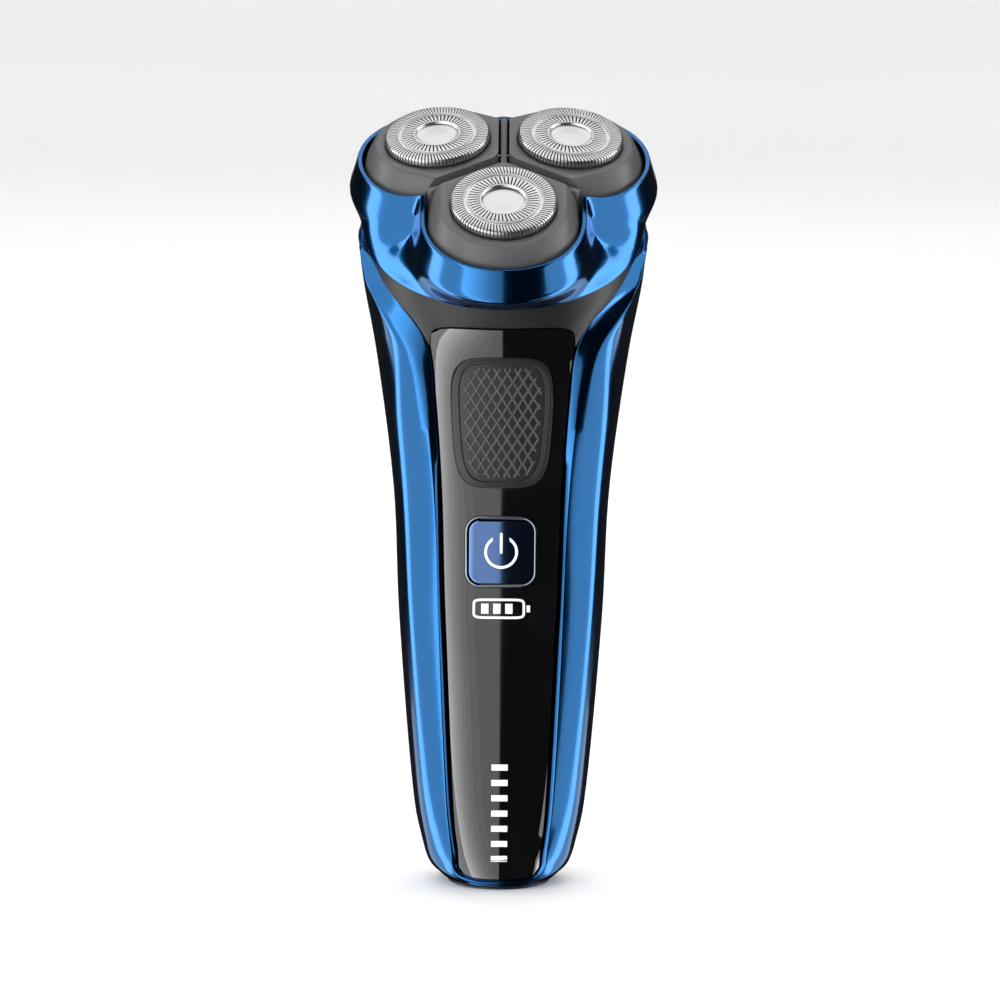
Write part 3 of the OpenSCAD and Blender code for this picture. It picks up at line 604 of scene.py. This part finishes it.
def ribs(bm, outline, count, slot, skew):
    """Ribs round Z with slots of one width between them; outline is a rib's side."""
    start = outline[0][0]
    sides = []
    for hand in (1, -1):
        side = []
        for r, z in outline:
            angle = hand * (pi / count - 0.5 * slot / r) + tan(radians(skew)) * (r - start) / r
            side.append(bm.verts.new((r * mm * cos(angle), r * mm * sin(angle), z * mm)))
        sides.append(side)
    left, right = sides
    faces = [bm.faces.new(left), bm.faces.new(right[::-1])]
    for k, corner in enumerate(left):
        nxt = (k + 1) % len(left)
        faces.append(bm.faces.new((corner, right[k], right[nxt], left[nxt])))
    edges = list(dict.fromkeys(e for f in faces for e in f.edges))
    bmesh.ops.spin(
        bm, geom=left + right + edges + faces, axis=(0, 0, 1), cent=(0, 0, 0),
        angle=2 * pi * (count - 1) / count, steps=count - 1, use_duplicate=True,
    )


def turned_piece(bm, name, place, material, body, slot=None, smooth=32):
    bmesh.ops.remove_doubles(bm, verts=bm.verts, dist=0.0005 * mm)
    bmesh.ops.recalc_face_normals(bm, faces=bm.faces)
    bmesh.ops.transform(bm, matrix=place, verts=bm.verts)
    return keep(bm, name, material, body, slot, smooth)


def below(top, *corners):
    """An outline of (radius, depth) corners, as heights under a top."""
    return [(r, top - depth) for r, depth in corners]


def guard(side):
    """The steel cap of a guard and the plastic skirt under it, in mm round the guard's axis."""
    node, place = "guard_" + side, pods[side]
    low, high = (corner.z / mm for corner in local_box(node, place))
    seen = place.inverted()
    packed = [seen @ v.co for v in nodes[node].data.vertices]
    rim = max(p.to_2d().length for p in packed if p.z > (high - 2) * mm) / mm
    top = high - 0.04
    disc, groove = rim - 6.4, rim - 3.1
    wall = rim - 0.45

    bm = bmesh.new()
    lathe(bm, below(
        top, (0, 0.56), (1.4, 0.58), (2.6, 0.64), (disc - 1, 0.7), (disc - 0.4, 0.62),
        (disc - 0.12, 0.45), (disc, 0.1), (disc + 0.1, 0), (disc + 0.34, 0), (disc + 0.42, 0.06),
        (disc + 0.42, 0.6), (disc - 0.1, 1.1), (0, 1.1),
    ))
    lathe(bm, below(
        top, (groove - 0.55, 0.6), (groove - 0.55, 0.05), (groove - 0.48, 0), (groove - 0.32, 0),
        (groove - 0.24, 0.3), (groove + 0.24, 0.3), (groove + 0.32, 0), (groove + 0.44, 0),
        (groove + 0.5, 0.05), (groove + 0.5, 0.6),
    ))
    ribs(bm, below(
        top, (disc + 0.36, 0.03), (disc + 0.5, 0), (groove - 0.6, 0), (groove - 0.5, 0.03),
        (groove - 0.5, 0.55), (disc + 0.36, 0.55),
    ), count=50, slot=0.3, skew=10)
    ribs(bm, below(
        top, (groove + 0.46, 0.03), (groove + 0.6, 0), (rim - 0.75, 0), (rim - 0.3, 0.12),
        (rim, 0.45), (rim, 1.35), (wall, 1.35), (wall, 0.75), (rim - 0.75, 0.55),
        (groove + 0.46, 0.55),
    ), count=92, slot=0.27, skew=14)
    cap = turned_piece(bm, node + "_cap", place, guard_steel[side], node, "shaver_steel")
    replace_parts(cap, "guard_" + side)

    bm = bmesh.new()
    lathe(bm, [
        (wall, low), (rim, low), (rim, top - 1.45), (rim - 0.08, top - 1.35), (wall, top - 1.35),
    ])
    tab = Matrix.Translation(((rim + 0.3) * mm, 0, (low + 0.4) * mm))
    tab_size = Matrix.Diagonal((1.4, 3.2, 0.8, 1))
    for angle in (0, 110, -110):
        turn = Matrix.Rotation(radians(angle), 4, "Z")
        bmesh.ops.create_cube(bm, size=mm, matrix=turn @ tab @ tab_size)
    turned_piece(bm, node + "_skirt", place, spindle_black, node)
    return cap


for side in SIDES:
    cap = guard(side)
print(cap.name, len(cap.data.polygons), "faces")

# %% [markdown]
# ## Ribs and prints on a curved face
# The knurl of the grip pad, its raised rim and the white prints all follow a curved face. Each is a
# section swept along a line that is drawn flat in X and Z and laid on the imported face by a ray.
# A bump map would be cheaper, but the knurl is deep enough to show at the pad's edge.


# %% Ribs and prints on a curved face
from mathutils.bvhtree import BVHTree


def face_of(node, toward=1):
    """A function that gives the depth of a node's front (toward 1) or rear (toward -1) face."""
    data = nodes[node].data
    polygons = [tuple(f.vertices) for f in data.polygons]
    tree = BVHTree.FromPolygons([v.co for v in data.vertices], polygons)

    def depth(x, z):
        hit = tree.ray_cast(Vector((x, -toward, z)), Vector((0, toward, 0)))[0]
        return hit.y if hit else None

    return depth


def sweep(bm, depth, line, section, toward=1, closed=False):
    """Sweeps a section of (side, height) points along a flat line of (x, z) points."""
    rings = []
    count = len(line)
    for k, (x, z) in enumerate(line):
        before = line[(k - 1) % count] if closed or k else line[0]
        after = line[(k + 1) % count] if closed or k < count - 1 else line[-1]
        along = Vector((after[0] - before[0], after[1] - before[1])).normalized()
        ring = []
        for side, height in section:
            px, pz = x + side * along.y, z - side * along.x
            seat = depth(px, pz)
            seat = depth(x, z) if seat is None else seat
            ring.append(bm.verts.new((px, seat - toward * height, pz)))
        rings.append(ring)
    pairs = list(zip(rings, rings[1:] + rings[:1])) if closed else list(zip(rings, rings[1:]))
    for one, two in pairs:
        for k in range(len(section)):
            nxt = (k + 1) % len(section)
            bm.faces.new((one[k], one[nxt], two[nxt], two[k]))
    if not closed:
        bm.faces.new(rings[0])
        bm.faces.new(rings[-1][::-1])


def squircle(half_width, half_height, x, z, power=4.5, count=72):
    """A closed flat line round a squarish shape; half_width may depend on the height share."""
    line = []
    for k in range(count):
        angle = 2 * pi * k / count
        c, s = cos(angle), sin(angle)
        v = (1 if s > 0 else -1) * abs(s) ** (2 / power)
        wide = half_width(v) if callable(half_width) else half_width
        line.append((x + wide * (1 if c > 0 else -1) * abs(c) ** (2 / power), z + half_height * v))
    return line


def laid_piece(bm, name, material, body, slot=None, smooth=40):
    bmesh.ops.recalc_face_normals(bm, faces=bm.faces)
    return keep(bm, name, material, body, slot, smooth)


def bead(width, height):
    """A rounded section, sunk a little at its foot."""
    return [(-0.5 * width, -0.1 * mm), (-0.42 * width, 0.55 * height), (-0.2 * width, height),
            (0.2 * width, height), (0.42 * width, 0.55 * height), (0.5 * width, -0.1 * mm)]


# %% [markdown]
# ## Grip pad
# The thumb pad is soft rubber over a hard core: a smooth border with a rounded rim, and inside it a
# field of crossing ribs that stops short of the border. The ribs run in two families, mirrored in
# the middle of the pad, which gives upright diamonds.

# %% Grip pad
low, high = local_box("grip_pad", Matrix())
pad_z = 0.5 * (low.z + high.z)
pad_half_w, pad_half_h = 0.5 * (high.x - low.x), 0.5 * (high.z - low.z)
pad_face = face_of("grip_pad")
pad = moulded_copy("grip_pad", grip_rubber, 0.3 * mm, angle=60)


def pad_width(inset):
    """Half width of the pad, narrower towards its foot, as a function of the height share."""
    return lambda v: pad_half_w - 0.55 * mm + (0.8 * v - 0.25 * v * v) * mm - inset


bm = bmesh.new()
rim_inset = 0.95 * mm
rim_line = squircle(pad_width(rim_inset), pad_half_h - rim_inset, 0, pad_z)
sweep(bm, pad_face, rim_line, bead(0.8 * mm, 0.30 * mm), closed=True)
laid_piece(bm, "grip_rim", grip_rubber, "handle")

field_inset = 2.1 * mm
field_w, field_h = pad_width(field_inset), pad_half_h - field_inset
cell_w, cell_h, step_z = 2.15 * mm, 3.46 * mm, 0.5 * mm
rib_foot, rib_top, rib_height, rib_sunk = 0.30 * mm, 0.08 * mm, 0.38 * mm, 0.1 * mm
knurl_section = [
    (-rib_foot, -rib_sunk), (-rib_top, rib_height), (rib_top, rib_height), (rib_foot, -rib_sunk),
]


def in_field(x, z):
    v = (z - pad_z) / field_h
    return abs(v) < 1 and abs(x) < field_w(v) * (1 - abs(v) ** 4.5) ** (1 / 4.5)


bm = bmesh.new()
reach = int(2 * field_h / step_z)
for hand in (1, -1):
    for k in range(-12, 13):
        line = []
        for j in range(-reach // 2, reach // 2 + 1):
            z = pad_z + j * step_z
            x = (k + 0.5) * cell_w + hand * (z - pad_z) * cell_w / cell_h
            if in_field(x, z):
                line.append((x, z))
        if len(line) > 2:
            sweep(bm, pad_face, line, knurl_section)
# The ribs take the lighter rubber, which paints a highlight on the knurl.
knurl = laid_piece(bm, "grip_knurl", knurl_painted_highlight, "handle", smooth=20)
print(knurl.name, len(knurl.data.polygons), "faces")

# %% [markdown]
# ## Power button
# The cap is slightly domed from side to side, which gathers the light into a soft edge. The packed
# cap has one flat face, so its copy is cut into upright strips and each row of points is raised.

# %% Power button
bm = welded("power_button")
ease_edges(bm, 0.35 * mm)
cap_half = 0.5 * (max(v.co.x for v in bm.verts) - min(v.co.x for v in bm.verts))
strips, dome = 14, 0.07 * mm
for k in range(1, strips):
    cut = (-1 + 2 * k / strips) * cap_half
    bmesh.ops.bisect_plane(
        bm, geom=bm.verts[:] + bm.edges[:] + bm.faces[:], dist=0.001 * mm,
        plane_co=(cut, 0, 0), plane_no=(1, 0, 0),
    )
cap_front = min(v.co.y for v in bm.verts)
for vertex in bm.verts:
    if vertex.co.y < cap_front + 0.36 * mm:
        vertex.co.y -= dome * (1 - (vertex.co.x / cap_half) ** 2)
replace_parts(keep(bm, "button_cap", button_lacquer, "button", "button_blue", smooth=20), "power_button")

# %% [markdown]
# ## Prints
# The white marks are pad-printed. A battery outline with charge bars says what kind of cell is
# inside, and a column of short strokes decorates the foot of the panel; both are generic. Their ink
# is two hundredths of a millimetre thick, so they are thin plates just above the gloss.


# %% Prints
panel_face = face_of("front_panel")
ink = [(-0.5, -0.02 * mm), (-0.5, 0.025 * mm), (0.5, 0.025 * mm), (0.5, -0.02 * mm)]


def stroke(bm, line, width, closed=False):
    sweep(bm, panel_face, line, [(side * width, height) for side, height in ink], closed=closed)


def straight(x, z, length, width, upright=False):
    """A line of one length, less the width of its stroke, in small steps."""
    half = 0.5 * (length - width)
    steps = [(-1 + 2 * k / 8) * half for k in range(9)]
    return [(x, z + d) for d in steps] if upright else [(x + d, z) for d in steps]


bm = bmesh.new()
battery_x, battery_z, battery_w, battery_h = -0.4 * mm, 61 * mm, 10.4 * mm, 3.8 * mm
outline = squircle(0.5 * battery_w, 0.5 * battery_h, battery_x, battery_z, power=7)
stroke(bm, outline, 0.5 * mm, closed=True)
contact_x = 0.5 * battery_w + 0.55 * mm
stroke(bm, straight(contact_x, battery_z, 1.7 * mm, 0.3 * mm, upright=True), 0.7 * mm)
for k in range(3):
    bar_x = (-3.3 + 2.5 * k) * mm
    stroke(bm, straight(bar_x, battery_z, 2.2 * mm, 0.1 * mm, upright=True), 1.5 * mm)
laid_piece(bm, "battery_print", print_white, "handle", "print_white")
bm = bmesh.new()
for k in range(7):
    stroke(bm, straight(0, (7.4 + 3.3 * k) * mm, 3.5 * mm, 0.1 * mm), 1.3 * mm)
laid_piece(bm, "column_print", print_white, "handle", "print_white")

# %% [markdown]
# ## Rear grip
# The palm side is not a plain shell: low cross ribs keep it from turning in a wet hand. They are
# swept over the rear cover in the same way, with rays from behind.

# %% Rear grip
rear_face = face_of("rear_cover", -1)
bm = bmesh.new()
for k in range(13):
    z = (36 + 4.2 * k) * mm
    half = (11.5 - 0.09 * (k - 6) ** 2) * mm
    across = [-1 + 2 * j / 16 for j in range(17)]
    line = [(half * share, z - 1.6 * mm * (1 - share ** 2)) for share in across]
    sweep(bm, rear_face, line, bead(1.3 * mm, 0.35 * mm), toward=-1)
laid_piece(bm, "rear_ribs", grip_rubber, "handle", "grip_rubber")

# %% [markdown]
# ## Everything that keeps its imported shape
# Inner pieces are right as they are and only need their finish.

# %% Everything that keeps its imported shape
plain_finish = {
    "rear_black": rear_black, "grip_rubber": grip_rubber, "bezel_chrome": bezel_chrome,
    "button_blue": button_lacquer, "print_white": print_white, "plated_steel": plated_steel,
    "board_green": board_green, "frame_grey": frame_grey, "bridge_grey": bridge_grey,
    "cell_wrap": cell_wrap, "socket_black": socket_black, "light_lens": light_lens,
    "magnet_iron": magnet_iron, "rotor_copper": rotor_copper, "gear_nylon": gear_nylon,
    "seal_rubber": seal_rubber, "pod_grey": pod_grey, "spindle_black": spindle_black,
    "blue_lacquer": blue_lacquer, "panel_gloss": gloss_black, "collar_grey": collar_grey,
}
for name, node in nodes.items():
    side = name.rsplit("_", 1)[-1]
    slot = slot_of(name)
    material = guard_steel[side] if slot == "shaver_steel" else plain_finish[slot]
    node.data.materials.clear()
    node.data.materials.append(material)

# %% [markdown]
# ## Spindle springs
# Each spindle rests on a coil spring. Under a pressed guard the spring shortens by the spindle's
# travel and its foot stays on the gear; its copy rides with the gear, unsquashed, on a mesh of its own.

# %% Spindle springs
for side in SIDES:
    name = "spindle_spring_" + side
    spring = keep(welded(name), name + "_coil", plated_steel, "gear_" + side, "plated_steel")
    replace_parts(spring, name)
    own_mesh(spring)

# %% [markdown]
# ## Floor and light
# A pale sheet lies under the shaver and curves up all round it. Gloss only looks like gloss when
# it has something to reflect, so the light comes from tall soft boxes. A row of them in front on
# the left ends at the camera, which splits the gloss into a bright and a dark half, and it gets
# brighter to the left, which grades the bright half. The lamps are hidden from the camera, and the
# floor and two fill lamps from reflections.


# %% Floor and light
def pale_paper(place):
    return {"Base Color": tint(place.noise(3, 2), (0.86, 0.86, 0.87), (0.9, 0.9, 0.9))}


paper = finish("paper", pale_paper, Roughness=0.9)
bm = bmesh.new()
flat_radius, curve_radius, wall_height = 1.4, 0.9, 4.0
outline = [(0, 0)]
for k in range(17):
    angle = 0.5 * pi * k / 16
    height = curve_radius * (1 - cos(angle))
    outline.append((flat_radius + curve_radius * sin(angle), height))
outline.append((flat_radius + curve_radius, wall_height))
corners = [bm.verts.new((r, 0, z)) for r, z in outline]
edges = [bm.edges.new(pair) for pair in zip(corners, corners[1:])]
full_spin(bm, corners + edges, 96)
bmesh.ops.remove_doubles(bm, verts=bm.verts, dist=0.01 * mm)
turned_out = [
    f for f in bm.faces
    if f.normal.z < -0.01 or f.normal.dot(f.calc_center_median()) > 0.01
]
bmesh.ops.reverse_faces(bm, faces=turned_out)
mesh = bpy.data.meshes.new("floor")
bm.to_mesh(mesh)
bm.free()
floor = bpy.data.objects.new("floor", mesh)
bpy.context.scene.collection.objects.link(floor)
mesh.materials.append(paper)
mesh.shade_smooth()
floor.visible_glossy = False


def softbox(name, start, end, low, high, distance, radiance, upright=True, wide=None):
    """A lamp between two azimuths and two elevations; radiance is how bright its face looks.

    An upright one keeps its edges at the same azimuth from top to foot."""
    azimuth, elevation = radians(0.5 * (start + end)), radians(0.5 * (low + high))
    lamp = bpy.data.lights.new(name, "AREA")
    lamp.shape = "RECTANGLE"
    lamp.size = wide or 2 * distance * tan(radians(0.5 * abs(end - start)))
    placed = bpy.data.objects.new(name, lamp)
    bpy.context.scene.collection.objects.link(placed)
    if upright:
        foot, head = distance * tan(radians(low)), distance * tan(radians(high))
        away = direction(azimuth, 0)
        lamp.size_y = head - foot
        placed.location = look_at + distance * away + Vector((0, 0, 0.5 * (foot + head)))
    else:
        away = direction(azimuth, elevation)
        lamp.size_y = 2 * distance * tan(radians(0.5 * (high - low)))
        placed.location = look_at + distance * away
    lamp.energy = radiance * pi * lamp.size * lamp.size_y
    placed.rotation_euler = away.to_track_quat("Z", "Y").to_euler()
    placed.visible_camera = False
    return placed


left_end, strips = -57, 9
for k in range(strips):
    share = (k + 0.5) / strips
    start, end = left_end * k / strips, left_end * (k + 1) / strips
    softbox(f"front_left_{k}", start, end, -72, 34, 1.5, 0.7 + 2.5 * share ** 1.6)
for name, start, end, low, high, radiance in (
    ("side_left", -57, -88, -66, 44, 1.2), ("edge_left", -88, -106, -48, 44, 3.4),
    ("side_right", 59, 88, -30, 44, 1.2), ("edge_right", 88, 106, -48, 44, 3.4),
    ("low_right", 76, 88, -66, -30, 1.2), ("back_left", -106, -145, -55, -16, 1.0),
    ("back_right", 106, 145, -55, -16, 1.0),
):
    softbox(name, start, end, low, high, 1.5, radiance)
softbox("overhead", 165, 195, 48, 92, 1.3, 1.1, upright=False, wide=1.5)
rear = softbox("rear", 165, 195, -2, 40, 1.5, 0.5, upright=False)
rear.visible_diffuse = False
for name, start, end, low, high, radiance in (
    ("fill_front", -25, 25, 20, 60, 1.8), ("fill_above", 165, 195, 55, 95, 2.2),
):
    fill = softbox(name, start, end, low, high, 1.7, radiance, upright=False, wide=1.8)
    fill.visible_glossy = False
world = bpy.data.worlds.new("studio")
world.use_nodes = True
world.node_tree.nodes["Background"].inputs["Color"].default_value = (0.95, 0.97, 1.0, 1.0)
world.node_tree.nodes["Background"].inputs["Strength"].default_value = 0.015
bpy.context.scene.world = world
bpy.context.scene.view_settings.view_transform = "Standard"
